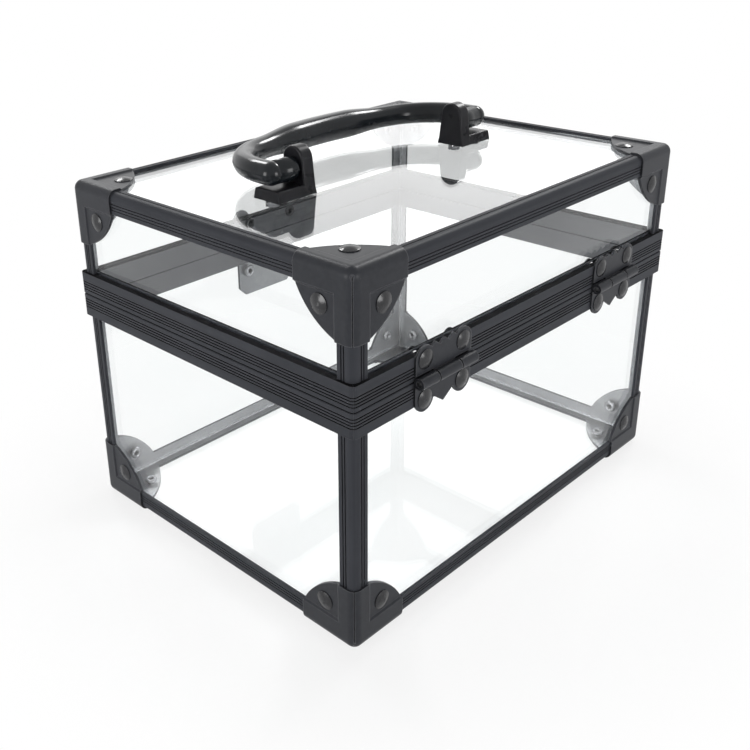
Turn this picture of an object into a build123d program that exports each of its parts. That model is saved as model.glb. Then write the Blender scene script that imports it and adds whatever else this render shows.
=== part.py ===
from build123d import *
import math
import os

# Clear lidded carrying case with a metal frame, in millimetres.
# X runs along the case, the hinges are on +Y, the latch is on -Y, and it stands on Z = 0.

# Case, over the frame rails in X and Y and over the corner caps in Z
case_length = 220.0
case_depth = 166.0
parting_height = 106.6
lid_height = 53.4
parting_gap = 0.4
seat_gap = 0.05
overrun = 5.0

# Clear panels
panel_thickness = 3.0

# Angle rails along the edges and corner posts, with grooved legs
rail_side_leg = 9.4
rail_flat_leg = 5.5
post_leg = 7.6
rail_wall = 1.4
rail_nose_radius = 3.0
rail_end_gap = 0.4
rail_groove_count = 3
rail_groove_edge = 2.0
rail_groove_pitch = 1.3
rail_groove_width = 0.6
rail_groove_depth = 0.6

# Channel rims round the mouths of the lid and the base
rim_height = 10.3
rim_proud = 1.4
rim_corner_radius = 2.2
rim_inner_wall = 1.2
rim_web = 1.2
rim_edge_chamfer = 0.35
rim_groove_count = 4
rim_groove_first = 2.2
rim_groove_pitch = 1.25
rim_groove_width = 0.6
rim_groove_depth = 0.6
mitre_gap = 0.1

# Pressed corner caps
cap_sheet = 0.95
cap_lobe_sheet = 1.6
cap_leg = 28.5
cap_arc_rise = 2.8
cap_rivet_clear = 1.1
cap_seam_width = 0.3
cap_seam_drop = 3.0
cap_dart_radius = 1.7
cap_dart_depth = 0.55
cap_dart_drop = 2.4
cap_dart_length = 7.0

# Tubular rivets
rivet_head_radius = 4.0
rivet_head_height = 1.3
rivet_low_head_height = 0.7
rivet_head_edge = 0.35
rivet_shank_radius = 1.6
rivet_hole_gap = 0.1
rivet_tail_radius = 3.0
rivet_tail_height = 1.1
rivet_bore_radius = 1.0
rivet_bore_depth = 3.2

# Butterfly hinges
hinge_end_inset = 48.0
hinge_sheet = 0.9
hinge_lobe_radius = 5.4
hinge_rivet_spread = 11.3
hinge_rivet_edge = 2.3
hinge_clear = 2.6
hinge_peak = 5.2
hinge_peak_pitch = 5.4
hinge_dip = 3.2
hinge_tooth_half_width = 5.2
hinge_tooth_base = 1.6
knuckle_radius = 2.4
knuckle_stand_off = 0.1
knuckle_gap = 0.7
hinge_side_knuckle = 9.6
pin_radius = 1.2
pin_gap = 0.05
pin_recess = 1.0

# Latch: a plate on the lid, a hasp that hangs from it and a keeper on the base
latch_rivet_clear = 0.7
latch_plate_drop = 0.5
latch_axis_rise = 3.6
latch_knuckle_half = 9.5
hasp_knuckle_half = 5.0
hasp_sheet = 1.3
hasp_half_width = 11.0
hasp_length = 27.4
hasp_corner_radius = 5.0
hasp_groove_count = 5
hasp_groove_base = 2.4
hasp_groove_pitch = 2.2
hasp_groove_width = 1.2
hasp_groove_depth = 0.5
hasp_groove_half_length = 6.0
keeper_flange = 19.0
keeper_sheet = 1.5
keeper_corner = 4.0
keeper_edge = 1.1
keeper_rivet_clear = 0.6
keeper_rivet_drop = 5.2
keeper_boss_half_width = 9.0
keeper_boss_skirt = 10.0
keeper_top_gap = 0.4
keeper_hasp_gap = 0.4

# Handle: two brackets, a bail and its pivot pins
bracket_inner = 49.8
bracket_length = 22.0
bracket_width = 15.0
bracket_foot = 4.6
bracket_foot_draft_angle = 8.0
bracket_ear = 6.5
bracket_height = 20.05
bracket_top_radius = 5.8
bracket_edge_radius = 0.8
pivot_height = 11.0
bail_pivot_radius = 2.0
bail_boss_length = 11.9
bail_arm_straight = 5.0
bail_corner_radius = 30.0
bail_bow = 5.0
bail_radius = 5.1
bail_swell = 1.5
bail_swell_shares = (0.36, 0.86)
bail_sections = 9
bail_boss_radius = 5.0
bail_boss_gap = 0.3
bail_droop_angle = 0.7
screw_radius = 1.45
screw_head_radius = 2.8
screw_head_height = 1.8
screw_depth = 3.6
screw_slot_width = 0.8
screw_slot_depth = 0.9
screw_end_inset = 3.4

# Planes of the frame, worked out from the sizes above
case_height = parting_height + lid_height
cap_proud = cap_sheet + seat_gap
cap_edge_radius = rail_nose_radius + cap_proud
cap_overlap = cap_proud + seat_gap + cap_sheet
cap_side_band = rail_side_leg + cap_overlap
cap_flat_band = rail_flat_leg + cap_overlap
cap_post_band = post_leg + cap_overlap
cap_rivet_inset = cap_side_band + rivet_head_radius + cap_rivet_clear
cap_x = case_length / 2 + cap_proud
cap_y = case_depth / 2 + cap_proud
rail_x = case_length / 2
rail_y = case_depth / 2
rail_low = cap_proud
rail_high = case_height - cap_proud
rail_end = post_leg + rail_end_gap
post_end = rail_side_leg + rail_end_gap
panel_inset = rail_wall + seat_gap
panel_x = rail_x - panel_inset
panel_y = rail_y - panel_inset
panel_low = rail_low + panel_inset
panel_high = rail_high - panel_inset
rim_x = rail_x + rim_proud
rim_y = rail_y + rim_proud
rim_inset = rim_proud + panel_inset
rim_inner_inset = rim_inset + panel_thickness + seat_gap
lid_rim_low = parting_height + parting_gap / 2
lid_rim_high = lid_rim_low + rim_height
base_rim_high = parting_height - parting_gap / 2
base_rim_low = base_rim_high - rim_height
rivet_hole_radius = rivet_shank_radius + rivet_hole_gap
rim_grip = rim_inner_inset + rim_inner_wall
knuckle_bore = pin_radius + pin_gap
knuckle_offset = knuckle_radius + knuckle_stand_off
hinge_axis_y = rim_y + knuckle_offset
hinge_centre = case_length / 2 - hinge_end_inset
hinge_rivet_rise = parting_gap / 2 + rim_height - hinge_rivet_edge
hinge_dip_rise = hinge_rivet_rise + hinge_dip
hinge_peak_rise = hinge_rivet_rise + hinge_peak
hinge_tooth_rise = hinge_rivet_rise + hinge_tooth_base
hinge_half_width = hinge_rivet_spread + hinge_lobe_radius
hinge_middle_half = hinge_half_width - hinge_side_knuckle - knuckle_gap
latch_axis_y = -rim_y - knuckle_offset
latch_axis_height = lid_rim_low + latch_axis_rise
latch_rivet_spread = latch_knuckle_half + rivet_head_radius + latch_rivet_clear
hasp_low = latch_axis_height - hasp_length
keeper_high = base_rim_low - seat_gap
keeper_low = keeper_high - keeper_flange
keeper_boss_low = keeper_high - keeper_boss_skirt
keeper_rivet_height = keeper_high - keeper_rivet_drop
keeper_rivet_spread = keeper_boss_half_width + rivet_head_radius + keeper_rivet_clear
keeper_half_width = keeper_rivet_spread + rivet_head_radius + keeper_edge
pivot_z = panel_high + pivot_height
bracket_outer = bracket_inner + bracket_length
bail_boss_start = bracket_inner + bracket_ear + bail_boss_gap
bail_arm_spread = bail_boss_start + bail_boss_length
bail_drop = bail_corner_radius + bail_bow
bail_reach = bail_arm_straight + bail_drop

side_normals = {
    "front": Vector(0, -1, 0),
    "back": Vector(0, 1, 0),
    "left": Vector(-1, 0, 0),
    "right": Vector(1, 0, 0),
}
corner_signs = {
    "front_left": (-1, -1),
    "front_right": (1, -1),
    "back_left": (-1, 1),
    "back_right": (1, 1),
}
up = Vector(0, 0, 1)
across_x = Plane.YZ
across_y = Plane.XZ
across_z = Plane.XY.offset(case_height / 2)


def save(piece, name):
    """Label a finished piece and write it as its own file."""
    piece.part.label = name
    export_step(piece.part, f"parts/{name}.step")


def mirrored(source, *planes):
    """A copy of a piece, reflected about each plane in turn."""
    piece = source
    for plane in planes:
        with BuildPart() as reflection:
            mirror(piece.part, about=plane)
        piece = reflection
    return piece


def corner_copy(source, sign_x, sign_y):
    """A back right piece, reflected to another vertical edge of the case."""
    planes = []
    if sign_x < 0:
        planes.append(across_x)
    if sign_y < 0:
        planes.append(across_y)
    return mirrored(source, *planes)


def wall_plane(side, distance, height, shift=0.0):
    """A plane on one side of the case: x to the viewer's right, y up, z outward."""
    normal = side_normals[side]
    along = up.cross(normal)
    return Plane(origin=normal * distance + along * shift + up * height, x_dir=along, z_dir=normal)


def by_side(side, long_value, short_value):
    """Pick the value for a long side (front or back) or a short one."""
    return long_value if side in ("front", "back") else short_value


# Places of all rivets: the plane of each seat, the grip to the far face, its body and its side
rivet_places = []


def place_rivets():
    lobe_offset = seat_gap + cap_lobe_sheet
    for body, edge, flat, normal in (
        ("lid", case_height - cap_rivet_inset, panel_high + lobe_offset, 1),
        ("base", cap_rivet_inset, panel_low - lobe_offset, -1),
    ):
        grip = lobe_offset + panel_thickness
        for sign_x, sign_y in corner_signs.values():
            near_x = sign_x * (cap_x - cap_rivet_inset)
            near_y = sign_y * (cap_y - cap_rivet_inset)
            side_x = "right" if sign_x > 0 else "left"
            side_y = "back" if sign_y > 0 else "front"
            seat_x = Plane((sign_x * (panel_x + lobe_offset), near_y, edge), z_dir=(sign_x, 0, 0))
            seat_y = Plane((near_x, sign_y * (panel_y + lobe_offset), edge), z_dir=(0, sign_y, 0))
            seat_z = Plane((near_x, near_y, flat), z_dir=(0, 0, normal))
            rivet_places.append((body, side_x, seat_x, grip))
            rivet_places.append((body, side_y, seat_y, grip))
            rivet_places.append((body, "flat", seat_z, grip))
    leaf_face = rim_y + seat_gap + hinge_sheet
    leaf_grip = seat_gap + hinge_sheet + rim_grip
    for body, rise in (("lid", hinge_rivet_rise), ("base", -hinge_rivet_rise)):
        for centre in (-hinge_centre, hinge_centre):
            for spread in (-hinge_rivet_spread, hinge_rivet_spread):
                seat = wall_plane("back", leaf_face, parting_height + rise, centre + spread)
                rivet_places.append((body, "back", seat, leaf_grip))
    keeper_face = panel_y + seat_gap + keeper_sheet
    keeper_grip = seat_gap + keeper_sheet + panel_thickness
    for sign in (-1, 1):
        plate_seat = wall_plane(
            "front", leaf_face, parting_height + hinge_rivet_rise, sign * latch_rivet_spread
        )
        keeper_seat = wall_plane("front", keeper_face, keeper_rivet_height, sign * keeper_rivet_spread)
        rivet_places.append(("lid", "front", plate_seat, leaf_grip))
        rivet_places.append(("base", "front", keeper_seat, keeper_grip))


def rivet_seats(body, side):
    return [seat for owner, face, seat, grip in rivet_places if owner == body and face == side]


def rim_seats(body, side):
    """The rivet seats of one side that lie over its rim."""
    low = lid_rim_low if body == "lid" else base_rim_low
    return [seat for seat in rivet_seats(body, side) if low < seat.origin.Z < low + rim_height]


def drill(seats):
    """Cut the clearance holes of some rivets through the piece being built."""
    with Locations(*seats):
        Cylinder(rivet_hole_radius, 2 * (rim_grip + overrun), mode=Mode.SUBTRACT)


def make_rivet(grip, head_height):
    """A domed rivet on its seat at Z = 0, with a hollow rolled tail past the grip."""
    tail_top = -grip - seat_gap
    tail_low = tail_top - rivet_tail_height
    dome = head_height - rivet_head_edge
    dome_radius = (rivet_head_radius**2 + dome**2) / (2 * dome)
    with BuildPart() as rivet:
        with BuildSketch(Plane.XZ):
            with BuildLine():
                RadiusArc((0, head_height), (rivet_head_radius, rivet_head_edge), dome_radius)
                Polyline(
                    (rivet_head_radius, rivet_head_edge),
                    (rivet_head_radius, 0),
                    (rivet_shank_radius, 0),
                    (rivet_shank_radius, tail_top),
                    (rivet_tail_radius, tail_top),
                )
                ThreePointArc(
                    (rivet_tail_radius, tail_top),
                    ((rivet_tail_radius + rivet_bore_radius) / 2, tail_low),
                    (rivet_bore_radius, tail_top),
                )
                Polyline(
                    (rivet_bore_radius, tail_top),
                    (rivet_bore_radius, tail_top + rivet_bore_depth),
                    (0, tail_top + rivet_bore_depth),
                    (0, head_height),
                )
            make_face()
        revolve(axis=Axis.Z)
    return rivet


def make_rivet_group(body):
    """All rivets of one body, as separate solids, with low heads where the case stands on them."""
    with BuildPart() as group:
        for owner, side, seat, grip in rivet_places:
            if owner == body:
                stands = body == "base" and side == "flat"
                rivet = make_rivet(grip, rivet_low_head_height if stands else rivet_head_height).part
                with Locations(seat):
                    add(rivet)
    return group


def make_flat_panel(body, low):
    """The top or bottom panel, over the edges of the wall panels."""
    with BuildPart() as panel:
        with BuildSketch(Plane.XY.offset(low)):
            Rectangle(2 * panel_x, 2 * panel_y)
        extrude(amount=panel_thickness)
        drill(rivet_seats(body, "flat"))
    return panel


def make_wall_panel(body, side, low, high):
    """One wall panel: the front and back run the full length, the ends fit between them."""
    face = by_side(side, panel_y, panel_x)
    half_width = by_side(side, panel_x, panel_y - panel_thickness - seat_gap)
    with BuildPart() as panel:
        with BuildSketch(wall_plane(side, face, (low + high) / 2)):
            Rectangle(2 * half_width, high - low)
        extrude(amount=-panel_thickness)
        drill(rivet_seats(body, side))
    return panel


def groove_places(leg):
    """Where the grooves of one leg run, measured from its nose."""
    places = [leg - rail_groove_edge - groove * rail_groove_pitch for groove in range(rail_groove_count)]
    return [place for place in places if place - rail_groove_width / 2 > rail_nose_radius]


def make_rail(middle, inward_a, leg_a, inward_b, leg_b, length):
    """A grooved angle along one outer edge, with its nose on the edge line."""
    profile_plane = Plane(origin=middle, x_dir=inward_a, z_dir=Vector(inward_a).cross(Vector(inward_b)))
    with BuildPart() as rail:
        with BuildSketch(profile_plane):
            with BuildLine():
                Polyline(
                    (0, 0),
                    (leg_a, 0),
                    (leg_a, rail_wall),
                    (rail_wall, rail_wall),
                    (rail_wall, leg_b),
                    (0, leg_b),
                    close=True,
                )
            nose = make_face().vertices().sort_by_distance((0, 0, 0))[0]
            fillet(nose, rail_nose_radius)
            for place in groove_places(leg_a):
                with Locations((place, 0)):
                    Rectangle(rail_groove_width, 2 * rail_groove_depth, mode=Mode.SUBTRACT)
            for place in groove_places(leg_b):
                with Locations((0, place)):
                    Rectangle(2 * rail_groove_depth, rail_groove_width, mode=Mode.SUBTRACT)
        extrude(amount=length / 2, both=True)
    return rail


def make_rim_ring(low, web_low, groove_sign):
    """A whole rim as one ring: outer bar, inner wall and the web that joins them at the mouth."""
    parting_face = low if groove_sign > 0 else low + rim_height
    mouth_x = 2 * (rim_x - rim_inner_inset - rim_inner_wall)
    mouth_y = 2 * (rim_y - rim_inner_inset - rim_inner_wall)
    with BuildPart() as ring:
        with BuildSketch(Plane.XY.offset(low)):
            RectangleRounded(2 * rim_x, 2 * rim_y, rim_corner_radius)
            Rectangle(2 * (panel_x + seat_gap), 2 * (panel_y + seat_gap), mode=Mode.SUBTRACT)
        extrude(amount=rim_height)
        with BuildSketch(Plane.XY.offset(low)):
            Rectangle(mouth_x + 2 * rim_inner_wall, mouth_y + 2 * rim_inner_wall)
            Rectangle(mouth_x, mouth_y, mode=Mode.SUBTRACT)
        extrude(amount=rim_height)
        with BuildSketch(Plane.XY.offset(web_low)):
            RectangleRounded(2 * rim_x, 2 * rim_y, rim_corner_radius)
            Rectangle(mouth_x, mouth_y, mode=Mode.SUBTRACT)
        extrude(amount=rim_web)
        for end in (ring.faces().sort_by(Axis.Z)[0], ring.faces().sort_by(Axis.Z)[-1]):
            chamfer(end.outer_wire().edges(), rim_edge_chamfer)
        for groove in range(rim_groove_count):
            place = parting_face + groove_sign * (rim_groove_first + groove * rim_groove_pitch)
            with BuildSketch(Plane.XY.offset(place - rim_groove_width / 2)):
                RectangleRounded(2 * (rim_x + overrun), 2 * (rim_y + overrun), rim_corner_radius)
                RectangleRounded(
                    2 * (rim_x - rim_groove_depth),
                    2 * (rim_y - rim_groove_depth),
                    rim_corner_radius - rim_groove_depth,
                    mode=Mode.SUBTRACT,
                )
            extrude(amount=rim_groove_width, mode=Mode.SUBTRACT)
    return ring


def make_rim(ring, body, side, low):
    """One side of a rim, cut from the ring at its mitred ends and drilled for its rivets."""
    half_length = by_side(side, rim_x, rim_y) - mitre_gap / 2
    face = by_side(side, rim_y, rim_x)
    depth = rim_grip + overrun
    mitre_plane = Plane(
        origin=up * (low - overrun), x_dir=side_normals[side].cross(up), z_dir=up
    )
    seats = rim_seats(body, side)
    with BuildPart() as rim:
        add(ring.part)
        with BuildSketch(mitre_plane):
            Polygon(
                (-half_length - overrun, face + overrun),
                (half_length + overrun, face + overrun),
                (half_length - depth, face - depth),
                (-half_length + depth, face - depth),
                align=None,
            )
        extrude(amount=rim_height + 2 * overrun, mode=Mode.INTERSECT)
        if seats:
            drill(seats)
    return rim


def make_corner_cap():
    """The pressed cap of the top back right corner: a bent band over the rails, and three lobes."""
    corner = Vector(cap_x, cap_y, case_height)
    lobe_depth = cap_proud + panel_inset - seat_gap
    step_depth = lobe_depth - cap_lobe_sheet
    bulge = cap_arc_rise / math.sqrt(2)
    with BuildPart() as cap:
        with Locations(corner):
            Box(cap_leg, cap_leg, cap_leg, align=(Align.MAX, Align.MAX, Align.MAX))
        fillet(cap.edges().sort_by_distance(corner)[:3], cap_edge_radius)
        inner_faces = [cap.faces().sort_by(axis)[0] for axis in (Axis.X, Axis.Y, Axis.Z)]
        offset(amount=-cap_sheet, openings=inner_faces)
        for normal, local_x, band_x, band_y in (
            (Vector(0, 0, 1), Vector(-1, 0, 0), cap_flat_band, cap_flat_band),
            (Vector(1, 0, 0), Vector(0, -1, 0), cap_post_band, cap_side_band),
            (Vector(0, 1, 0), Vector(0, 0, -1), cap_side_band, cap_post_band),
        ):
            face_plane = Plane(origin=corner, x_dir=local_x, z_dir=normal)
            step_x = band_x - cap_sheet
            step_y = band_y - cap_sheet
            tip_a = (cap_leg, step_y)
            tip_b = (step_x, cap_leg)
            crest = ((cap_leg + step_x) / 2 + bulge, (cap_leg + step_y) / 2 + bulge)
            with BuildSketch(face_plane):
                with BuildLine():
                    ThreePointArc(tip_a, crest, tip_b)
                    Polyline(
                        tip_b,
                        (step_x, cap_leg + overrun),
                        (cap_leg + overrun, cap_leg + overrun),
                        (cap_leg + overrun, step_y),
                        tip_a,
                    )
                make_face()
            extrude(amount=-cap_leg, mode=Mode.SUBTRACT)
            with BuildSketch(face_plane, mode=Mode.PRIVATE) as lobe:
                with BuildLine():
                    ThreePointArc(tip_a, crest, tip_b)
                    Polyline(tip_b, (step_x, step_y), tip_a)
                make_face()
            with BuildSketch(face_plane):
                add(lobe.sketch_local)
            extrude(amount=-lobe_depth)
            for depth, start_x, start_y in ((0, step_x, step_y), (step_depth, band_x, band_y)):
                with BuildSketch(face_plane.offset(-depth)):
                    with Locations((start_x, start_y)):
                        Rectangle(cap_leg, cap_leg, align=(Align.MIN, Align.MIN))
            loft(mode=Mode.SUBTRACT)
            with Locations(face_plane * Pos(cap_rivet_inset, cap_rivet_inset)):
                Cylinder(rivet_hole_radius, 2 * cap_side_band, mode=Mode.SUBTRACT)
        with Locations(Location((cap_x, cap_y, case_height - cap_seam_drop), (0, 0, 45))):
            Box(
                2 * cap_edge_radius,
                cap_seam_width,
                cap_leg,
                align=(Align.CENTER, Align.CENTER, Align.MAX),
                mode=Mode.SUBTRACT,
            )
        dart_out = (cap_dart_radius - cap_dart_depth) / math.sqrt(2)
        edge_in = cap_edge_radius * (1 - math.sqrt(1 / 2))
        dart_shift = dart_out - edge_in
        with Locations((cap_x + dart_shift, cap_y + dart_shift, case_height - cap_dart_drop)):
            Cone(
                0,
                cap_dart_radius,
                cap_dart_length,
                align=(Align.CENTER, Align.CENTER, Align.MAX),
                mode=Mode.SUBTRACT,
            )
    return cap


def add_knuckle(start, end, axis_y, axis_height):
    """Add one tubular knuckle of a hinge, along X, to the piece being built."""
    with Locations(Plane(origin=((start + end) / 2, axis_y, axis_height), z_dir=(1, 0, 0))):
        Cylinder(knuckle_radius, end - start)
        Cylinder(knuckle_bore, end - start, mode=Mode.SUBTRACT)


def make_upper_leaf(centre):
    """The lid's leaf of one hinge: two round lobes, three peaks between them and the middle knuckle."""
    with BuildPart() as leaf:
        with BuildSketch(wall_plane("back", rim_y + seat_gap, parting_height, -centre)):
            with Locations((0, (hinge_clear + hinge_rivet_rise) / 2)):
                Rectangle(2 * hinge_half_width, hinge_rivet_rise - hinge_clear)
            for spread in (-hinge_rivet_spread, hinge_rivet_spread):
                with Locations((spread, hinge_rivet_rise)):
                    Circle(hinge_lobe_radius)
            with Locations((0, hinge_clear / 2)):
                Rectangle(2 * hinge_middle_half, hinge_clear)
            Polygon(
                (-hinge_rivet_spread, hinge_rivet_rise),
                (-hinge_peak_pitch * 3 / 2, hinge_dip_rise),
                (-hinge_peak_pitch, hinge_peak_rise),
                (-hinge_peak_pitch / 2, hinge_dip_rise),
                (0, hinge_peak_rise),
                (hinge_peak_pitch / 2, hinge_dip_rise),
                (hinge_peak_pitch, hinge_peak_rise),
                (hinge_peak_pitch * 3 / 2, hinge_dip_rise),
                (hinge_rivet_spread, hinge_rivet_rise),
                align=None,
            )
        extrude(amount=hinge_sheet)
        add_knuckle(centre - hinge_middle_half, centre + hinge_middle_half, hinge_axis_y, parting_height)
        drill(rivet_seats("lid", "back"))
    return leaf


def make_lower_leaf(centre):
    """The base's leaf of one hinge: two round lobes, a pointed tooth and the two outer knuckles."""
    inner = hinge_half_width - hinge_side_knuckle
    strip = (hinge_half_width + inner) / 2
    with BuildPart() as leaf:
        with BuildSketch(wall_plane("back", rim_y + seat_gap, parting_height, -centre)):
            with Locations((0, -(hinge_clear + hinge_rivet_rise) / 2)):
                Rectangle(2 * hinge_half_width, hinge_rivet_rise - hinge_clear)
            for spread in (-hinge_rivet_spread, hinge_rivet_spread):
                with Locations((spread, -hinge_rivet_rise)):
                    Circle(hinge_lobe_radius)
            with Locations((-strip, -hinge_clear / 2), (strip, -hinge_clear / 2)):
                Rectangle(hinge_side_knuckle, hinge_clear)
            Polygon(
                (-hinge_rivet_spread, -hinge_rivet_rise),
                (-hinge_tooth_half_width, -hinge_tooth_rise),
                (0, -hinge_peak_rise),
                (hinge_tooth_half_width, -hinge_tooth_rise),
                (hinge_rivet_spread, -hinge_rivet_rise),
                align=None,
            )
        extrude(amount=hinge_sheet)
        for start in (centre - hinge_half_width, centre + inner):
            add_knuckle(start, start + hinge_side_knuckle, hinge_axis_y, parting_height)
        drill(rivet_seats("base", "back"))
    return leaf


def make_pin(half_length, centre, axis_y, axis_height):
    """A plain hinge pin along X."""
    with BuildPart() as pin:
        with BuildSketch(Plane(origin=(centre, axis_y, axis_height), x_dir=(0, 1, 0), z_dir=(1, 0, 0))):
            Circle(pin_radius)
        extrude(amount=half_length, both=True)
    return pin


def make_latch_plate():
    """The latch's plate on the lid rim, with two knuckles for the hasp."""
    low = lid_rim_low + latch_plate_drop - latch_axis_height
    rivet_rise = parting_height + hinge_rivet_rise - latch_axis_height
    half_width = latch_rivet_spread + hinge_lobe_radius
    notch_half = hasp_knuckle_half + knuckle_gap
    with BuildPart() as plate:
        with BuildSketch(wall_plane("front", rim_y + seat_gap, latch_axis_height)):
            with Locations((0, (low + rivet_rise) / 2)):
                Rectangle(2 * half_width, rivet_rise - low)
            with Locations((-latch_rivet_spread, rivet_rise), (latch_rivet_spread, rivet_rise)):
                Circle(hinge_lobe_radius)
            with Locations((0, (low - overrun + hinge_clear) / 2)):
                Rectangle(2 * notch_half, hinge_clear + overrun - low, mode=Mode.SUBTRACT)
        extrude(amount=hinge_sheet)
        for start in (-latch_knuckle_half, notch_half):
            add_knuckle(start, start + latch_knuckle_half - notch_half, latch_axis_y, latch_axis_height)
        drill(rivet_seats("lid", "front"))
    return plate


def make_hasp():
    """The hanging hasp: a knuckle, a narrow neck and a wide tongue with thumb grooves."""
    face = rim_y + knuckle_offset + knuckle_radius
    shoulder = latch_axis_height - knuckle_radius - knuckle_gap
    with BuildPart() as hasp:
        with BuildSketch(wall_plane("front", face, 0)):
            with Locations((0, (shoulder + hasp_low) / 2)):
                RectangleRounded(2 * hasp_half_width, shoulder - hasp_low, hasp_corner_radius)
            with Locations((0, (latch_axis_height + hasp_low) / 2)):
                Rectangle(2 * hasp_knuckle_half, latch_axis_height - hasp_low)
        extrude(amount=-hasp_sheet)
        for groove in range(hasp_groove_count):
            height = hasp_low + hasp_groove_base + groove * hasp_groove_pitch
            with BuildSketch(wall_plane("front", face, height)):
                Rectangle(2 * hasp_groove_half_length, hasp_groove_width)
            extrude(amount=-hasp_groove_depth, mode=Mode.SUBTRACT)
        add_knuckle(-hasp_knuckle_half, hasp_knuckle_half, latch_axis_y, latch_axis_height)
    return hasp


def make_keeper():
    """The latch's keeper on the base: a riveted flange and a boss that stands out over the rim."""
    boss_face = rim_y + knuckle_offset + knuckle_radius - hasp_sheet - keeper_hasp_gap
    boss_high = base_rim_high - keeper_top_gap
    with BuildPart() as keeper:
        with BuildSketch(wall_plane("front", panel_y + seat_gap, (keeper_low + keeper_high) / 2)):
            Rectangle(2 * keeper_half_width, keeper_flange)
        extrude(amount=keeper_sheet)
        low_edges = keeper.edges().filter_by(Axis.Y).group_by(Axis.Z)[0]
        chamfer(low_edges, keeper_corner)
        with BuildSketch(Plane.YZ):
            with BuildLine():
                Polyline(
                    (-panel_y - seat_gap, keeper_boss_low),
                    (-panel_y - seat_gap, keeper_high),
                    (-rim_y - seat_gap, keeper_high),
                    (-rim_y - seat_gap, boss_high),
                    (-boss_face, boss_high),
                    (-boss_face, keeper_boss_low + boss_face - panel_y - seat_gap),
                    close=True,
                )
            make_face()
        extrude(amount=keeper_boss_half_width, both=True)
        drill(rivet_seats("base", "front"))
    return keeper


def make_bracket():
    """The right handle bracket: a drafted foot on the lid and a tapered, round-topped ear."""
    low = panel_high + seat_gap
    half_width = bracket_width / 2
    top_centre = low + bracket_height - bracket_top_radius
    rise = top_centre - low
    tangent = math.acos(bracket_top_radius / math.hypot(half_width, rise)) - math.atan2(rise, half_width)
    tangent_y = bracket_top_radius * math.cos(tangent)
    tangent_z = top_centre + bracket_top_radius * math.sin(tangent)
    with BuildPart() as foot:
        with BuildSketch(Plane.XY.offset(low)):
            with Locations((bracket_inner, 0)):
                Rectangle(bracket_length, bracket_width, align=(Align.MIN, Align.CENTER))
        extrude(amount=bracket_foot, taper=bracket_foot_draft_angle)
        fillet(foot.faces().sort_by(Axis.Z)[-1].edges(), bracket_edge_radius)
    with BuildPart() as bracket:
        with BuildSketch(Plane.YZ.offset(bracket_inner)):
            Polygon(
                (-half_width, low),
                (half_width, low),
                (tangent_y, tangent_z),
                (-tangent_y, tangent_z),
                align=None,
            )
            with Locations((0, top_centre)):
                Circle(bracket_top_radius)
        extrude(amount=bracket_ear)
        for end in (bracket.faces().sort_by(Axis.X)[0], bracket.faces().sort_by(Axis.X)[-1]):
            fillet(end.edges().sort_by(Axis.Z)[1:], bracket_edge_radius)
        add(foot.part)
        with Locations(Plane(origin=(bracket_inner + pin_recess - pin_gap, 0, pivot_z), z_dir=(1, 0, 0))):
            Cylinder(
                bail_pivot_radius + pin_gap,
                bracket_ear + overrun,
                align=(Align.CENTER, Align.CENTER, Align.MIN),
                mode=Mode.SUBTRACT,
            )
        with Locations(*screw_points(low)):
            Cylinder(screw_radius + seat_gap, 2 * screw_depth, mode=Mode.SUBTRACT)
    return bracket


def screw_points(height):
    """Where the two screws of the right bracket stand, at a height."""
    return [
        (bracket_inner + bracket_ear / 2, 0, height),
        (bracket_outer - screw_end_inset, 0, height),
    ]


def make_screws():
    """The four bracket screws, driven up through the lid's top panel."""
    seat = panel_high - panel_thickness - seat_gap
    length = panel_thickness + screw_depth
    with BuildPart() as right_pair:
        with Locations(*screw_points(seat)):
            Cylinder(screw_radius, length, align=(Align.CENTER, Align.CENTER, Align.MIN))
            Cylinder(
                screw_head_radius,
                screw_head_height,
                align=(Align.CENTER, Align.CENTER, Align.MAX),
            )
        with Locations(*screw_points(seat - screw_head_height)):
            Box(2 * screw_head_radius, screw_slot_width, 2 * screw_slot_depth, mode=Mode.SUBTRACT)
    with BuildPart() as screws:
        add(right_pair.part)
        mirror(right_pair.part, about=across_x)
    return screws


def make_top_panel():
    """The lid's top panel, with the bracket screws' holes beside its rivet holes."""
    panel = make_flat_panel("lid", panel_high - panel_thickness)
    places = screw_points(panel_high)
    places += [(-x, y, z) for x, y, z in places]
    with BuildPart() as top:
        add(panel.part)
        with Locations(*places):
            Cylinder(screw_radius + rivet_hole_gap, 2 * panel_thickness + overrun, mode=Mode.SUBTRACT)
    return top


def swell_at(run_share):
    """How far the grip swells at a share of its half length: full in the middle, then running out."""
    start_share, end_share = bail_swell_shares
    fall_share = min(max((run_share - start_share) / (end_share - start_share), 0), 1)
    return bail_swell * (1 - fall_share**2 * (3 - 2 * fall_share))


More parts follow.
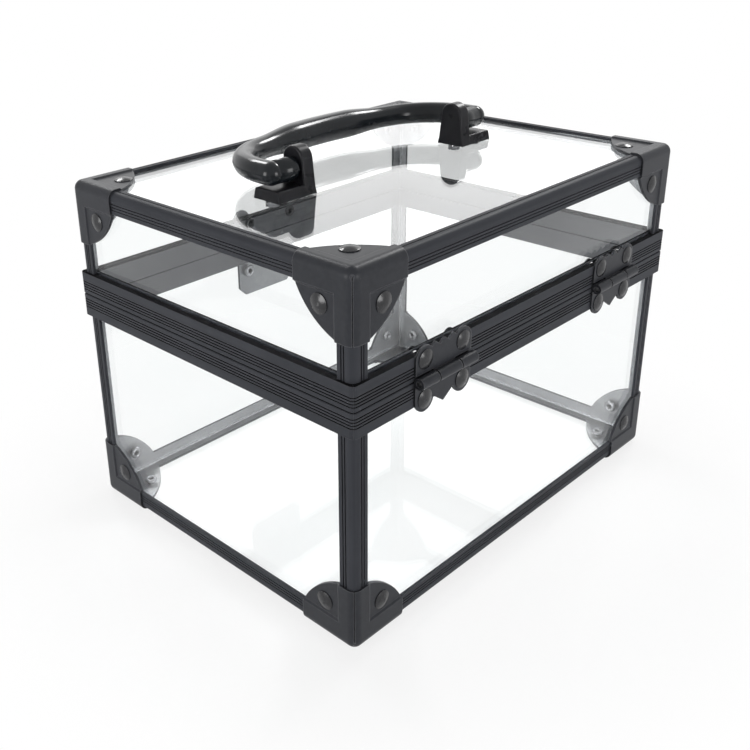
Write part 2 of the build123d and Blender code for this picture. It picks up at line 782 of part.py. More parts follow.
def make_bail():
    """The carrying bail, folded to the front: two arms, wide bends and a bowed, swollen grip."""
    droop = math.radians(bail_droop_angle)
    bail_plane = Plane(
        origin=(0, 0, pivot_z), x_dir=(1, 0, 0), z_dir=(0, math.sin(droop), -math.cos(droop))
    )
    half_run = bail_arm_spread - bail_corner_radius
    grip_radius = (half_run**2 + bail_drop**2 - bail_corner_radius**2) / (2 * bail_bow)
    bend_angle = math.asin(half_run / (grip_radius - bail_corner_radius))
    bend_x = grip_radius * math.sin(bend_angle)
    bend_y = bail_reach - grip_radius * (1 - math.cos(bend_angle))
    bend_middle = (math.pi / 2 + bend_angle) / 2
    middle_x = half_run + bail_corner_radius * math.sin(bend_middle)
    middle_y = bail_arm_straight + bail_corner_radius * math.cos(bend_middle)
    with BuildPart() as bail:
        with BuildLine(bail_plane) as bend:
            Line((bail_arm_spread, 0), (bail_arm_spread, bail_arm_straight))
            ThreePointArc((bail_arm_spread, bail_arm_straight), (middle_x, middle_y), (bend_x, bend_y))
        arm = bend.wires()[0]
        with BuildSketch(Plane(origin=arm @ 0, z_dir=arm % 0)):
            Circle(bail_radius)
        sweep(path=arm)
        with Locations(arm @ 0):
            Sphere(bail_radius)
        mirror(about=across_x)
        with BuildLine(bail_plane, mode=Mode.PRIVATE) as bow:
            ThreePointArc((-bend_x, bend_y), (0, bail_reach), (bend_x, bend_y))
        grip = bow.edges()[0]
        for section in range(bail_sections):
            share = section / (bail_sections - 1)
            place = grip @ share
            with BuildSketch(Plane(origin=place, z_dir=grip % share)):
                Circle(bail_radius + swell_at(abs(place.X) / bend_x))
        loft()
        for sign in (-1, 1):
            boss_plane = Plane(origin=(sign * bail_boss_start, 0, pivot_z), z_dir=(sign, 0, 0))
            with BuildSketch(boss_plane):
                Circle(bail_boss_radius)
            extrude(amount=bail_boss_length)
            with BuildSketch(boss_plane):
                Circle(bail_pivot_radius + seat_gap)
            extrude(amount=bail_boss_length, mode=Mode.SUBTRACT)
    return bail


def make_pivot_pins():
    """The two steel pins that carry the bail in the bracket ears."""
    start = bracket_inner + pin_recess
    end = bail_arm_spread - seat_gap
    with BuildPart() as pins:
        for sign in (-1, 1):
            with BuildSketch(Plane(origin=(sign * start, 0, pivot_z), z_dir=(sign, 0, 0))):
                Circle(bail_pivot_radius)
            extrude(amount=end - start)
    return pins


os.makedirs("parts", exist_ok=True)
place_rivets()

# Lid panels
save(make_top_panel(), "lid_top_panel")
lid_wall_low = lid_rim_low + rim_web + seat_gap
lid_wall_high = panel_high - panel_thickness - seat_gap
for side in side_normals:
    save(make_wall_panel("lid", side, lid_wall_low, lid_wall_high), f"lid_{side}_panel")

# Base panels
save(make_flat_panel("base", panel_low), "base_bottom_panel")
base_wall_low = panel_low + panel_thickness + seat_gap
base_wall_high = base_rim_high - rim_web - seat_gap
for side in side_normals:
    save(make_wall_panel("base", side, base_wall_low, base_wall_high), f"base_{side}_panel")

# Long and short rails along the top and bottom edges
for group, height, inward in (
    ("lid_top_rail", rail_high, (0, 0, -1)),
    ("base_bottom_rail", rail_low, (0, 0, 1)),
):
    long_rail = make_rail(
        (0, rail_y, height),
        (0, -1, 0),
        rail_flat_leg,
        inward,
        rail_side_leg,
        case_length - 2 * rail_end,
    )
    short_rail = make_rail(
        (rail_x, 0, height),
        (-1, 0, 0),
        rail_flat_leg,
        inward,
        rail_side_leg,
        case_depth - 2 * rail_end,
    )
    save(long_rail, f"{group}_back")
    save(mirrored(long_rail, across_y), f"{group}_front")
    save(short_rail, f"{group}_right")
    save(mirrored(short_rail, across_x), f"{group}_left")

# Corner posts of the lid and the base, between the caps and the rims
for body, low, high in (
    ("lid", lid_rim_high + seat_gap, rail_high - post_end),
    ("base", rail_low + post_end, base_rim_low - seat_gap),
):
    post = make_rail(
        (rail_x, rail_y, (low + high) / 2),
        (-1, 0, 0),
        post_leg,
        (0, -1, 0),
        post_leg,
        high - low,
    )
    for place, (sign_x, sign_y) in corner_signs.items():
        save(corner_copy(post, sign_x, sign_y), f"{body}_post_{place}")

# Rims, mitred at the corners
lid_ring = make_rim_ring(lid_rim_low, lid_rim_low, 1)
base_ring = make_rim_ring(base_rim_low, base_rim_high - rim_web, -1)
for side in side_normals:
    save(make_rim(lid_ring, "lid", side, lid_rim_low), f"lid_rim_{side}")
    save(make_rim(base_ring, "base", side, base_rim_low), f"base_rim_{side}")

# Corner caps
lid_cap = make_corner_cap()
base_cap = mirrored(lid_cap, across_z)
for place, (sign_x, sign_y) in corner_signs.items():
    save(corner_copy(lid_cap, sign_x, sign_y), f"lid_corner_{place}")
    save(corner_copy(base_cap, sign_x, sign_y), f"base_corner_{place}")

# Rivets
save(make_rivet_group("lid"), "lid_rivets")
save(make_rivet_group("base"), "base_rivets")

# Hinges
hinge_pin_half = hinge_half_width - pin_recess
for place, centre in (("left", -hinge_centre), ("right", hinge_centre)):
    save(make_upper_leaf(centre), f"hinge_{place}_upper_leaf")
    save(make_lower_leaf(centre), f"hinge_{place}_lower_leaf")
hinge_pin = make_pin(hinge_pin_half, hinge_centre, hinge_axis_y, parting_height)
with BuildPart() as hinge_pins:
    add(hinge_pin.part)
    mirror(hinge_pin.part, about=across_x)
save(hinge_pins, "hinge_pins")

# Latch
save(make_latch_plate(), "latch_lid_plate")
save(make_hasp(), "latch_hasp")
save(make_keeper(), "latch_keeper")
save(make_pin(latch_knuckle_half - pin_recess, 0, latch_axis_y, latch_axis_height), "latch_pin")

# Handle
bracket = make_bracket()
save(bracket, "handle_bracket_right")
save(mirrored(bracket, across_x), "handle_bracket_left")
save(make_screws(), "handle_screws")
save(make_bail(), "handle_bail")
save(make_pivot_pins(), "handle_pivot_pins")
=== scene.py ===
import math

import bmesh
import bpy
from mathutils import Matrix, Vector


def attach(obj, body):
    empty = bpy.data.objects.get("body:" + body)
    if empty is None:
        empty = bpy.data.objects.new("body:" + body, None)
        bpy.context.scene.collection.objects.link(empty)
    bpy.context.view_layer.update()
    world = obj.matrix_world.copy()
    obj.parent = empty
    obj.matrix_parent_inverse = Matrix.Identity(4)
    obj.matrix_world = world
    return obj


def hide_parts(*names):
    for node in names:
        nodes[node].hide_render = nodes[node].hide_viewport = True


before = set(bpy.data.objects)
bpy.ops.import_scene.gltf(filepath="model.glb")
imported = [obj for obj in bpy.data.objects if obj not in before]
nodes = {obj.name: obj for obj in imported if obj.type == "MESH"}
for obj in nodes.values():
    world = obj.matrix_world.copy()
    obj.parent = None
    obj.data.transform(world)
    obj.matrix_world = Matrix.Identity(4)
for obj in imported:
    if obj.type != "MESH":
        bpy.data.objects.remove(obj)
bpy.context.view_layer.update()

MM = 0.001


def add_object(name, data):
    """A new object in the scene."""
    made = bpy.data.objects.new(name, data)
    bpy.context.scene.collection.objects.link(made)
    return made


# Camera, at the photograph's viewing angle
FRAME_PIXELS = 750
SENSOR = 36.0
FOCAL_PIXELS = 988.12
CENTRE_PIXELS = (298.50, 310.03)
CAMERA_PLACE = Vector((331.445, 288.417, 275.810)) * MM
CAMERA_RIGHT = Vector((-0.713785, 0.699813, -0.027815))
CAMERA_DOWN = Vector((0.295137, 0.264538, -0.918103))
CAMERA_FORWARD = Vector((-0.635142, -0.663537, -0.395364))
CAMERA_CLIP = 0.01


def make_camera():
    data = bpy.data.cameras.new("camera")
    data.sensor_fit = "HORIZONTAL"
    data.sensor_width = SENSOR
    data.lens = FOCAL_PIXELS * SENSOR / FRAME_PIXELS
    data.shift_x = 0.5 - CENTRE_PIXELS[0] / FRAME_PIXELS
    data.shift_y = CENTRE_PIXELS[1] / FRAME_PIXELS - 0.5
    data.clip_start = CAMERA_CLIP
    camera = add_object("camera", data)
    axes = Matrix((CAMERA_RIGHT, -CAMERA_DOWN, -CAMERA_FORWARD)).transposed()
    camera.matrix_world = Matrix.Translation(CAMERA_PLACE) @ axes.to_4x4()
    bpy.context.scene.camera = camera


# Case middle, and how far out from it, in millimetres, each kind of surface starts
CASE_MIDDLE = Vector((0.0, 0.0, 80.0)) * MM
SKIN_REACH = (108.0, 81.0, 77.0)
RIM_SKIN_REACH = (103.5, 76.5, 77.0)
INSIDE_REACH = (105.8, 78.8, 74.8)

# Height of the rims' parting line above the case middle, and how far they reach from it
RIM_RISE = 26.6
RIM_HALF = 12.0

# Which way a face has to look to count as upward or as inward
UPWARD = 0.9
INWARD = -0.5

# Noise kinds as detail and roughness, the span of values that noise fills, and its stretch
BLOTCH = (5.0, 0.6)
STREAK = (3.0, 0.6)
GRAIN = (2.0, 0.5)
NOISE_LOW = 0.3
NOISE_HIGH = 0.7
EVEN = (1.0, 1.0, 1.0)

# Edge rounding: rays, and the match of true and rounded normals where the edge wear and painted highlight
# starts and is full
EDGE_SAMPLES = 6
WEAR_AND_HIGHLIGHT_START = 0.995
WEAR_AND_HIGHLIGHT_FULL = 0.9


class Shader:
    """A material with one Principled shader and short calls for its nodes."""

    def __init__(self, name):
        self.material = bpy.data.materials.new(name)
        self.material.use_nodes = True
        self.tree = self.material.node_tree
        self.main = self.tree.nodes["Principled BSDF"]
        self.coords = self.tree.nodes.new("ShaderNodeTexCoord")

    def set(self, **values):
        for name, value in values.items():
            self.main.inputs[name.replace("_", " ")].default_value = value

    def feed(self, **sources):
        for name, source in sources.items():
            self.link(source, self.main.inputs[name.replace("_", " ")])

    def node(self, kind, **settings):
        made = self.tree.nodes.new(kind)
        for name, value in settings.items():
            setattr(made, name, value)
        return made

    def link(self, source, target):
        self.tree.links.new(source, target)

    def noise(self, scale, kind, stretch=EVEN):
        mapping = self.node("ShaderNodeMapping")
        mapping.inputs["Scale"].default_value = stretch
        self.link(self.coords.outputs["Object"], mapping.inputs["Vector"])
        made = self.node("ShaderNodeTexNoise")
        made.inputs["Scale"].default_value = scale
        made.inputs["Detail"].default_value, made.inputs["Roughness"].default_value = kind
        self.link(mapping.outputs["Vector"], made.inputs["Vector"])
        return made.outputs["Fac"]

    def remap(self, value, low, high, start=NOISE_LOW, end=NOISE_HIGH):
        made = self.node("ShaderNodeMapRange")
        made.inputs["From Min"].default_value = start
        made.inputs["From Max"].default_value = end
        made.inputs["To Min"].default_value = low
        made.inputs["To Max"].default_value = high
        self.link(value, made.inputs["Value"])
        return made.outputs["Result"]

    def math(self, operation, a, b=0.0):
        made = self.node("ShaderNodeMath", operation=operation)
        for socket, value in zip(made.inputs, (a, b)):
            if isinstance(value, (int, float)):
                socket.default_value = value
            else:
                self.link(value, socket)
        return made.outputs["Value"]

    def mix(self, factor, low, high):
        made = self.node("ShaderNodeMix", data_type="RGBA")
        self.link(factor, made.inputs["Factor"])
        for socket, value in ((made.inputs["A"], low), (made.inputs["B"], high)):
            if isinstance(value, tuple):
                socket.default_value = (*value, 1.0)
            else:
                self.link(value, socket)
        return made.outputs["Result"]

    def rounded(self, radius):
        """The normal with edges rounded by a radius in millimetres."""
        made = self.node("ShaderNodeBevel", samples=EDGE_SAMPLES)
        made.inputs["Radius"].default_value = radius * MM
        return made.outputs["Normal"]

    def bump(self, height, strength, depth, edge=0.0):
        """Relief of a depth in millimetres, on edges that may be rounded."""
        made = self.node("ShaderNodeBump")
        made.inputs["Strength"].default_value = strength
        made.inputs["Distance"].default_value = depth * MM
        self.link(height, made.inputs["Height"])
        if edge:
            self.link(self.rounded(edge), made.inputs["Normal"])
        self.feed(Normal=made.outputs["Normal"])

    def edges(self, radius):
        """1 along the sharp edges of a piece, 0 on its flats."""
        geometry = self.node("ShaderNodeNewGeometry")
        match = self.node("ShaderNodeVectorMath", operation="DOT_PRODUCT")
        self.link(self.rounded(radius), match.inputs[0])
        self.link(geometry.outputs["Normal"], match.inputs[1])
        return self.remap(match.outputs["Value"], 0.0, 1.0, WEAR_AND_HIGHLIGHT_START, WEAR_AND_HIGHLIGHT_FULL)

    def facing(self):
        """The three parts of the face's direction."""
        made = self.node("ShaderNodeSeparateXYZ")
        self.link(self.coords.outputs["Normal"], made.inputs[0])
        return made.outputs

    def from_middle(self):
        """The three parts of the way from the case middle to the point."""
        shifted = self.node("ShaderNodeVectorMath", operation="SUBTRACT")
        self.link(self.coords.outputs["Object"], shifted.inputs[0])
        shifted.inputs[1].default_value = CASE_MIDDLE
        made = self.node("ShaderNodeSeparateXYZ")
        self.link(shifted.outputs["Vector"], made.inputs[0])
        return made.outputs

    def upward(self):
        """1 on faces that look straight up, 0 elsewhere."""
        return self.math("GREATER_THAN", self.facing()["Z"], UPWARD)

    def inner_skin(self, reaches=SKIN_REACH):
        """1 on faces that look into the case from its outer frame, 0 elsewhere."""
        place = self.from_middle()
        facing = self.facing()
        found = None
        for axis, reach in zip("XYZ", reaches):
            turned = self.math("MULTIPLY", facing[axis], self.math("SIGN", place[axis]))
            inward = self.math("LESS_THAN", turned, INWARD)
            outer = self.math("GREATER_THAN", self.math("ABSOLUTE", place[axis]), reach * MM)
            both = self.math("MULTIPLY", inward, outer)
            found = both if found is None else self.math("MAXIMUM", found, both)
        return found

    def rim_skin(self):
        """1 on the rims' inner faces, 0 elsewhere."""
        return self.inner_skin(RIM_SKIN_REACH)

    def inside(self):
        """1 for points within the clear panels but clear of the rims, 0 elsewhere."""
        place = self.from_middle()
        found = None
        for axis, reach in zip("XYZ", INSIDE_REACH):
            near = self.math("LESS_THAN", self.math("ABSOLUTE", place[axis]), reach * MM)
            found = near if found is None else self.math("MULTIPLY", found, near)
        rise = self.math("ABSOLUTE", self.math("SUBTRACT", place["Z"], RIM_RISE * MM))
        return self.math("MULTIPLY", found, self.math("GREATER_THAN", rise, RIM_HALF * MM))


# Clear acrylic: refractive indices, tints, haze, and hairline scratches that run upward
TOP_INDEX = 1.49
WALL_INDEX = 1.3
CLEAR_TINTS = ((0.97, 0.985, 0.985), (0.985, 0.99, 0.99))
SMEAR_SCALE = 14.0
HAZE = 0.012
SCRATCH_SCALE = 700.0
SCRATCH_STRETCH = (1.0, 1.0, 0.03)
SCRATCH_STRENGTH = 0.02
SCRATCH_DEPTH = 0.02


def make_acrylic(name, index):
    """Clear polished sheet with a breath of haze, handling smears and hairline scratches."""
    shader = Shader(name)
    shader.set(IOR=index, Transmission_Weight=1.0)
    smear = shader.noise(SMEAR_SCALE, BLOTCH)
    tint = shader.mix(shader.remap(smear, 0.0, 1.0), *CLEAR_TINTS)
    shader.feed(Base_Color=tint, Roughness=shader.remap(smear, 0.0, HAZE))
    scratch = shader.noise(SCRATCH_SCALE, GRAIN, SCRATCH_STRETCH)
    shader.bump(scratch, SCRATCH_STRENGTH, SCRATCH_DEPTH)
    return shader.material


# Black coated metal: bare tones lightened by a painted veil of reflected light, edge wear with painted
# highlight, painted shade on the matte rim tops, and the sizes of its blotches, streaks and grain
# Bare metal tones, partly the unpainted inner faces and partly a painted veil of the panels' reflected light
BARE_AND_VEIL_METAL = ((0.21, 0.215, 0.225), (0.3, 0.305, 0.32))
BARE_AND_VEIL_RIM = ((0.085, 0.088, 0.094), (0.12, 0.123, 0.13))
RAW_METALLIC = 0.6
# Light edge tone, partly edge wear and partly a painted highlight on edges and ridges
WEAR_AND_HIGHLIGHT_TONE = (0.15, 0.15, 0.16)
WEAR_AND_HIGHLIGHT_LEAST = 0.5
# Near-black painted shade on the rims' upward faces, which are also made matte
PAINTED_SHADE_TOP_TONE = (0.006, 0.006, 0.007)
TOP_ROUGHNESS = 0.9
BLOTCH_SCALE = 26.0
STREAK_SCALE = 420.0
STREAK_SHARE = 0.5
COAT_GRAIN_SCALE = 2600.0
COAT_GRAIN_STRENGTH = 0.06
COAT_GRAIN_DEPTH = 0.06


def make_dark_metal(name, tones, rough, edge, gloss, stretch=EVEN, bare_and_veil_where=Shader.inner_skin, bare_and_veil_tones=BARE_AND_VEIL_METAL,
                    matte_painted_shade_top=False):
    """Satin black coated metal: lighter along its edges, partly wear and partly painted highlight; bare metal
    where it looks into the case, lightened further as a painted veil of reflected light; and, with a matte
    top, painted shade on upward faces.
    """
    shader = Shader(name)
    shader.set(Specular_IOR_Level=gloss)
    blotch = shader.noise(BLOTCH_SCALE, BLOTCH)
    streak = shader.noise(STREAK_SCALE, STREAK, stretch)
    blotch_part = shader.math("MULTIPLY", blotch, 1.0 - STREAK_SHARE)
    shade = shader.math("ADD", blotch_part, shader.math("MULTIPLY", streak, STREAK_SHARE))
    coat = shader.mix(shader.remap(shade, 0.0, 1.0), *tones)
    # Edges and ridges lightened, partly wear and partly painted highlight
    wear_and_highlight = shader.math("MULTIPLY", shader.edges(edge), shader.remap(blotch, WEAR_AND_HIGHLIGHT_LEAST, 1.0))
    coat = shader.mix(wear_and_highlight, coat, WEAR_AND_HIGHLIGHT_TONE)
    polish = shader.remap(shade, *rough)
    # Upward faces: painted shade in a near-black tone, and matte roughness
    if matte_painted_shade_top:
        coat = shader.mix(shader.upward(), coat, PAINTED_SHADE_TOP_TONE)
        polish = shader.math("MAXIMUM", polish, shader.math("MULTIPLY", shader.upward(), TOP_ROUGHNESS))
    # Inner faces: bare metal tone, lightened as a painted veil of the panels' reflected light
    bare_and_veil_mask = bare_and_veil_where(shader)
    bare_and_veil_colour = shader.mix(shader.remap(shade, 0.0, 1.0), *bare_and_veil_tones)
    shader.feed(Base_Color=shader.mix(bare_and_veil_mask, coat, bare_and_veil_colour), Roughness=polish)
    shader.feed(Metallic=shader.remap(bare_and_veil_mask, 0.0, RAW_METALLIC, 0.0, 1.0))
    grain = shader.noise(COAT_GRAIN_SCALE, GRAIN)
    shader.bump(shader.math("ADD", grain, streak), COAT_GRAIN_STRENGTH, COAT_GRAIN_DEPTH, edge)
    return shader.material


# Moulded plastic and bare steel
PLASTIC_INDEX = 1.5
MOTTLE_SCALE = 60.0
MOULD_GRAIN_STRENGTH = 0.15
STEEL_TONES = ((0.36, 0.36, 0.37), (0.58, 0.58, 0.58))
STEEL_ROUGH = (0.22, 0.4)
DRAWN_SCALE = 900.0
DRAWN_STRETCH = (0.03, 1.0, 1.0)


def make_plastic(name, tones, rough, grain_scale, grain_depth, gloss, edge=0.0):
    """Moulded black plastic: a faint mottle in gloss and a fine mould texture."""
    shader = Shader(name)
    shader.set(IOR=PLASTIC_INDEX, Specular_IOR_Level=gloss)
    mottle = shader.noise(MOTTLE_SCALE, BLOTCH)
    colour = shader.mix(shader.remap(mottle, 0.0, 1.0), *tones)
    shader.feed(Base_Color=colour, Roughness=shader.remap(mottle, *rough))
    shader.bump(shader.noise(grain_scale, GRAIN), MOULD_GRAIN_STRENGTH, grain_depth, edge)
    return shader.material


def make_steel():
    """Bare drawn steel wire."""
    shader = Shader("bare_steel")
    shader.set(Metallic=1.0)
    streak = shader.noise(DRAWN_SCALE, STREAK, DRAWN_STRETCH)
    colour = shader.mix(shader.remap(streak, 0.0, 1.0), *STEEL_TONES)
    shader.feed(Base_Color=colour, Roughness=shader.remap(streak, *STEEL_ROUGH))
    return shader.material


# Tones, roughness, edge width in millimetres and gloss of each black finish
FRAME_LOOK = {
    "tones": ((0.0345, 0.0365, 0.0425), (0.0545, 0.057, 0.0655)),
    "rough": (0.38, 0.5),
    "edge": 0.15,
    "gloss": 0.06,
}
PRESSED_LOOK = {
    "tones": ((0.0245, 0.026, 0.0305), (0.038, 0.04, 0.0465)),
    "rough": (0.3, 0.42),
    "edge": 0.5,
    "gloss": 0.14,
}
RIVET_LOOK = {
    "tones": ((0.012, 0.0122, 0.014), (0.023, 0.0235, 0.0265)),
    "rough": (0.16, 0.26),
    "edge": 0.12,
    "gloss": 0.4,
}
HANDLE_LOOK = {
    "tones": ((0.006, 0.008, 0.010), (0.011, 0.013, 0.016)),
    "rough": (0.14, 0.2),
    "grain_scale": 1500.0,
    "grain_depth": 0.02,
    "gloss": 0.25,
}
BRACKET_LOOK = {
    "tones": ((0.009, 0.009, 0.011), (0.014, 0.014, 0.017)),
    "rough": (0.24, 0.36),
    "grain_scale": 2200.0,
    "grain_depth": 0.04,
    "gloss": 0.17,
    "edge": 0.2,
}
STREAK_STRETCHES = {"x": (0.02, 1.0, 1.0), "y": (1.0, 0.02, 1.0), "z": (1.0, 1.0, 0.02)}


def make_materials():
    made = {}
    for axis, stretch in STREAK_STRETCHES.items():
        look = {**FRAME_LOOK, "stretch": stretch}
        made[f"frame_{axis}"] = make_dark_metal(f"frame_metal_{axis}", **look)
        # Rims: bare inner faces lightened as painted veil, and painted shade on their upward faces
        rim_look = {**look, "bare_and_veil_where": Shader.rim_skin, "bare_and_veil_tones": BARE_AND_VEIL_RIM, "matte_painted_shade_top": True}
        made[f"rim_{axis}"] = make_dark_metal(f"rim_metal_{axis}", **rim_look)
    made["acrylic_top"] = make_acrylic("clear_acrylic_top", TOP_INDEX)
    made["acrylic_wall"] = make_acrylic("clear_acrylic_wall", WALL_INDEX)
    made["pressed"] = make_dark_metal("pressed_metal", **PRESSED_LOOK)
    # Rivet tails inside the panels: bare tone lightened as a painted veil of reflected light
    made["rivet"] = make_dark_metal("rivet_metal", bare_and_veil_where=Shader.inside, **RIVET_LOOK)
    made["handle"] = make_plastic("handle_plastic", **HANDLE_LOOK)
    made["bracket"] = make_plastic("bracket_plastic", **BRACKET_LOOK)
    made["steel"] = make_steel()
    return made


def material_of(name):
    """Which material a CAD node takes, by its name."""
    if name.endswith("_panel"):
        return "acrylic_top" if name == "lid_top_panel" else "acrylic_wall"
    if "post" in name:
        return "frame_z"
    along = "x" if name.endswith(("front", "back")) else "y"
    if "rail" in name:
        return f"frame_{along}"
    if "rim" in name:
        return f"rim_{along}"
    if name in ("hinge_pins", "latch_pin"):
        return "steel"
    if "rivets" in name or name in ("handle_pivot_pins", "handle_screws"):
        return "rivet"
    if "bracket" in name:
        return "bracket"
    if "bail" in name:
        return "handle"
    return "pressed"


def dress_nodes(materials):
    for name, node in nodes.items():
        node.data.materials.clear()
        node.data.materials.append(materials[material_of(name)])
        if name.endswith("_panel"):
            node.visible_shadow = False


# Handle bail, a smooth swept tube on the CAD's own centre line, in millimetres
PIVOT_Z = 168.55
BAIL_DROOP = math.radians(0.7)
BAIL_ARM_X = 68.5
BAIL_STRAIGHT = 5.0
BAIL_BEND = 30.0
BAIL_BOW = 5.0
BAIL_RADIUS = 5.1
BAIL_SWELL = 1.5
SWELL_SHARES = (0.36, 0.86)
SEAM_RISE = 0.12

# Bosses that carry the bail on its pivots
BOSS_START = 56.6
BOSS_RADIUS = 5.0
BOSS_EDGE = 0.8

# Points round the tube, and steps along its end, arm, bend and bow and over a boss's edge
BAIL_RING = 64
END_STEPS = 9
ARM_STEPS = 4
BEND_STEPS = 28
BOW_STEPS = 30
EDGE_STEPS = 5


def bail_point(x, reach):
    """A point of the bail's plane, in metres."""
    return Vector((x, -reach * math.cos(BAIL_DROOP), PIVOT_Z - reach * math.sin(BAIL_DROOP))) * MM


def bail_path():
    """Centre line points and tube radii, from the right arm's end to the left one's."""
    half_run = BAIL_ARM_X - BAIL_BEND
    drop = BAIL_BEND + BAIL_BOW
    bow_radius = (half_run**2 + drop**2 - BAIL_BEND**2) / (2 * BAIL_BOW)
    bend_angle = math.asin(half_run / (bow_radius - BAIL_BEND))
    bend_x = bow_radius * math.sin(bend_angle)
    swell_start, swell_end = SWELL_SHARES
    half = []
    for step in range(END_STEPS):
        angle = math.pi / 2 * step / END_STEPS
        half.append((BAIL_ARM_X, -BAIL_RADIUS * math.cos(angle), BAIL_RADIUS * math.sin(angle)))
    for step in range(ARM_STEPS):
        half.append((BAIL_ARM_X, BAIL_STRAIGHT * step / ARM_STEPS, BAIL_RADIUS))
    for step in range(BEND_STEPS):
        angle = (math.pi / 2 - bend_angle) * step / BEND_STEPS
        x = half_run + BAIL_BEND * math.cos(angle)
        half.append((x, BAIL_STRAIGHT + BAIL_BEND * math.sin(angle), BAIL_RADIUS))
    for step in range(BOW_STEPS + 1):
        angle = bend_angle * (1 - step / BOW_STEPS)
        x = bow_radius * math.sin(angle)
        reach = BAIL_STRAIGHT + drop - bow_radius * (1 - math.cos(angle))
        fall = (x / bend_x - swell_start) / (swell_end - swell_start)
        fall = min(max(fall, 0.0), 1.0)
        half.append((x, reach, BAIL_RADIUS + BAIL_SWELL * (1 - fall**2 * (3 - 2 * fall))))
    return half + [(-x, y, radius) for x, y, radius in reversed(half[:-1])]


def ring_angle(step):
    return 2 * math.pi * step / BAIL_RING


def close_rings(mesh, rings):
    """Walls between neighbouring rings, and a face over each end."""
    for first, second in zip(rings, rings[1:]):
        for step in range(BAIL_RING):
            after = (step + 1) % BAIL_RING
            mesh.faces.new((first[step], first[after], second[after], second[step]))
    mesh.faces.new(rings[0])
    mesh.faces.new(rings[-1])


def add_tube(mesh):
    """The swept tube, with a fine mould seam along both sides."""
    path = bail_path()
    up = Vector((0, -math.sin(BAIL_DROOP), math.cos(BAIL_DROOP)))
    points = [bail_point(x, y) for x, y, radius in path]
    rings = []
    for index, (x, y, radius) in enumerate(path):
        before = points[max(index - 1, 0)]
        after = points[min(index + 1, len(points) - 1)]
        side = (after - before).normalized().cross(up).normalized()
        ring = []
        for step in range(BAIL_RING):
            angle = ring_angle(step)
            rise = SEAM_RISE if step in (0, BAIL_RING // 2) and radius >= BAIL_RADIUS else 0.0
            offset = (side * math.cos(angle) + up * math.sin(angle)) * (radius + rise) * MM
            ring.append(mesh.verts.new(points[index] + offset))
        rings.append(ring)
    close_rings(mesh, rings)


def add_boss(mesh, sign):
    """A round boss on one arm, with a rounded inner edge."""
    profile = [(BAIL_ARM_X, BOSS_RADIUS)]
    for step in range(EDGE_STEPS + 1):
        angle = math.pi / 2 * step / EDGE_STEPS
        x = BOSS_START + BOSS_EDGE * (1 - math.sin(angle))
        profile.append((x, BOSS_RADIUS - BOSS_EDGE * (1 - math.cos(angle))))
    circles = []
    for x, radius in profile:
        circle = []
        for step in range(BAIL_RING):
            angle = ring_angle(step)
            place = Vector((sign * x, radius * math.cos(angle), PIVOT_Z + radius * math.sin(angle)))
            circle.append(mesh.verts.new(place * MM))
        circles.append(circle)
    close_rings(mesh, circles)


def make_bail(material):
    mesh = bmesh.new()
    add_tube(mesh)
    for sign in (-1, 1):
        add_boss(mesh, sign)
    bmesh.ops.recalc_face_normals(mesh, faces=mesh.faces)
    data = bpy.data.meshes.new("bail")
    mesh.to_mesh(data)
    mesh.free()
    for face in data.polygons:
        face.use_smooth = True
    data.materials.append(material)
    bail = add_object("bail", data)
    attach(bail, "handle")
    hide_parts("handle_bail")


# White floor: half its side, how far it lies below the case, its colour, and where its own glow fades
FLOOR_HALF = 6.0
FLOOR_DROP = 0.0002
FLOOR_COLOUR = (0.86, 0.86, 0.86, 1.0)
GLOW_NEAR = 0.14
GLOW_FAR = 0.22
GLOW_NEAR_SHARE = 0.82

# Light that the world casts on surfaces
WORLD_LIGHT = 0.3
WHITE = (1.0, 1.0, 1.0, 1.0)


def seen_directly(tree):
    """1 for rays that the camera, a reflection or clear material sends, 0 for light that falls on surfaces."""
    path = tree.nodes.new("ShaderNodeLightPath")
    seen = path.outputs["Is Camera Ray"]
    for kind in ("Is Glossy Ray", "Is Transmission Ray"):
        either = tree.nodes.new("ShaderNodeMath")
        either.operation = "MAXIMUM"
        tree.links.new(seen, either.inputs[0])
        tree.links.new(path.outputs[kind], either.inputs[1])
        seen = either.outputs["Value"]
    return seen


def floor_glow_share(tree):
    """How much of the floor's look is plain white: less near the case, so that its shadow stays."""
    coords = tree.nodes.new("ShaderNodeTexCoord")
    away = tree.nodes.new("ShaderNodeVectorMath")
    away.operation = "LENGTH"
    tree.links.new(coords.outputs["Object"], away.inputs[0])
    fade = tree.nodes.new("ShaderNodeMapRange")
    fade.interpolation_type = "SMOOTHSTEP"
    fade.inputs["From Min"].default_value = GLOW_NEAR
    fade.inputs["From Max"].default_value = GLOW_FAR
    fade.inputs["To Min"].default_value = GLOW_NEAR_SHARE
    fade.inputs["To Max"].default_value = 1.0
    tree.links.new(away.outputs["Value"], fade.inputs["Value"])
    share = tree.nodes.new("ShaderNodeMath")
    share.operation = "MULTIPLY"
    tree.links.new(seen_directly(tree), share.inputs[0])
    tree.links.new(fade.outputs["Result"], share.inputs[1])
    return share.outputs["Value"]


def mix_to_output(tree, share, low, high, output):
    """Mix two shaders by a share and send the result to a new output node."""
    mix = tree.nodes.new("ShaderNodeMixShader")
    tree.links.new(share, mix.inputs["Fac"])
    tree.links.new(low.outputs[0], mix.inputs[1])
    tree.links.new(high.outputs[0], mix.inputs[2])
    out = tree.nodes.new(output)
    tree.links.new(mix.outputs[0], out.inputs["Surface"])


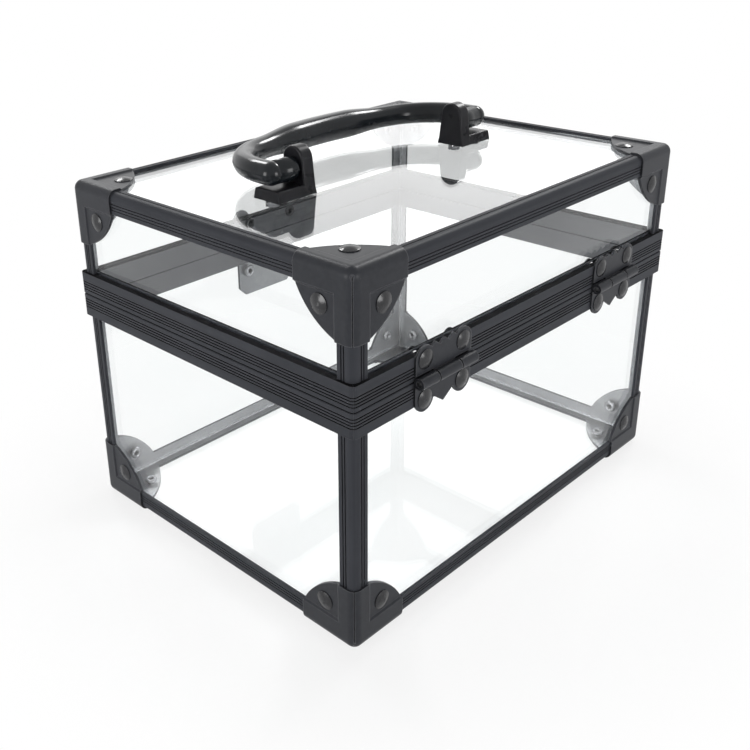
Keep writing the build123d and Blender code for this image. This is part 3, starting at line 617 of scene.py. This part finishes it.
def make_floor():
    corners = [(-1, -1), (1, -1), (1, 1), (-1, 1)]
    mesh = bpy.data.meshes.new("floor")
    mesh.from_pydata([(x * FLOOR_HALF, y * FLOOR_HALF, 0) for x, y in corners], [], [(0, 1, 2, 3)])
    floor = add_object("floor", mesh)
    floor.location.z = -FLOOR_DROP
    material = bpy.data.materials.new("floor_white")
    material.use_nodes = True
    tree = material.node_tree
    tree.nodes.clear()
    diffuse = tree.nodes.new("ShaderNodeBsdfDiffuse")
    diffuse.inputs["Color"].default_value = FLOOR_COLOUR
    glow = tree.nodes.new("ShaderNodeEmission")
    glow.inputs["Strength"].default_value = 1.0
    mix_to_output(tree, floor_glow_share(tree), diffuse, glow, "ShaderNodeOutputMaterial")
    mesh.materials.append(material)


def make_world():
    world = bpy.data.worlds.new("studio")
    bpy.context.scene.world = world
    world.use_nodes = True
    tree = world.node_tree
    tree.nodes.clear()
    around = tree.nodes.new("ShaderNodeBackground")
    around.inputs["Strength"].default_value = WORLD_LIGHT
    white = tree.nodes.new("ShaderNodeBackground")
    white.inputs["Color"].default_value = WHITE
    white.inputs["Strength"].default_value = 1.0
    mix_to_output(tree, seen_directly(tree), around, white, "ShaderNodeOutputWorld")


# Lamps as place, target, size and power
LAMP_TARGET = (0.0, 0.0, 0.08)
TOP_TARGET = (0.0, 0.0, 0.16)
LAMPS = {
    "right_back": ((-0.76, -0.06, 0.8), LAMP_TARGET, (0.25, 0.2), 5.0),
    "left_back": ((-0.15, -0.73, 0.82), LAMP_TARGET, (0.25, 0.2), 3.0),
    "back_softbox": ((-0.85, -0.9, 0.72), TOP_TARGET, (1.3, 0.65), 2.4),
    "left_side": ((1.1, -0.2, 0.24), LAMP_TARGET, (0.5, 0.5), 6.4),
    "right_side": ((-0.1, 1.15, 0.22), LAMP_TARGET, (0.5, 0.5), 6.0),
}


def make_lamp(name, place, target, size, power):
    data = bpy.data.lights.new(name, "AREA")
    data.shape = "RECTANGLE"
    data.size, data.size_y = size
    data.energy = power
    lamp = add_object(name, data)
    lamp.location = place
    aim = Vector(target) - Vector(place)
    lamp.rotation_euler = aim.to_track_quat("-Z", "Y").to_euler()


bpy.context.scene.view_settings.view_transform = "Standard"
make_camera()
materials = make_materials()
dress_nodes(materials)
make_bail(materials["handle"])
make_floor()
make_world()
for lamp_name, settings in LAMPS.items():
    make_lamp(lamp_name, *settings)

bpy.context.view_layer.update()
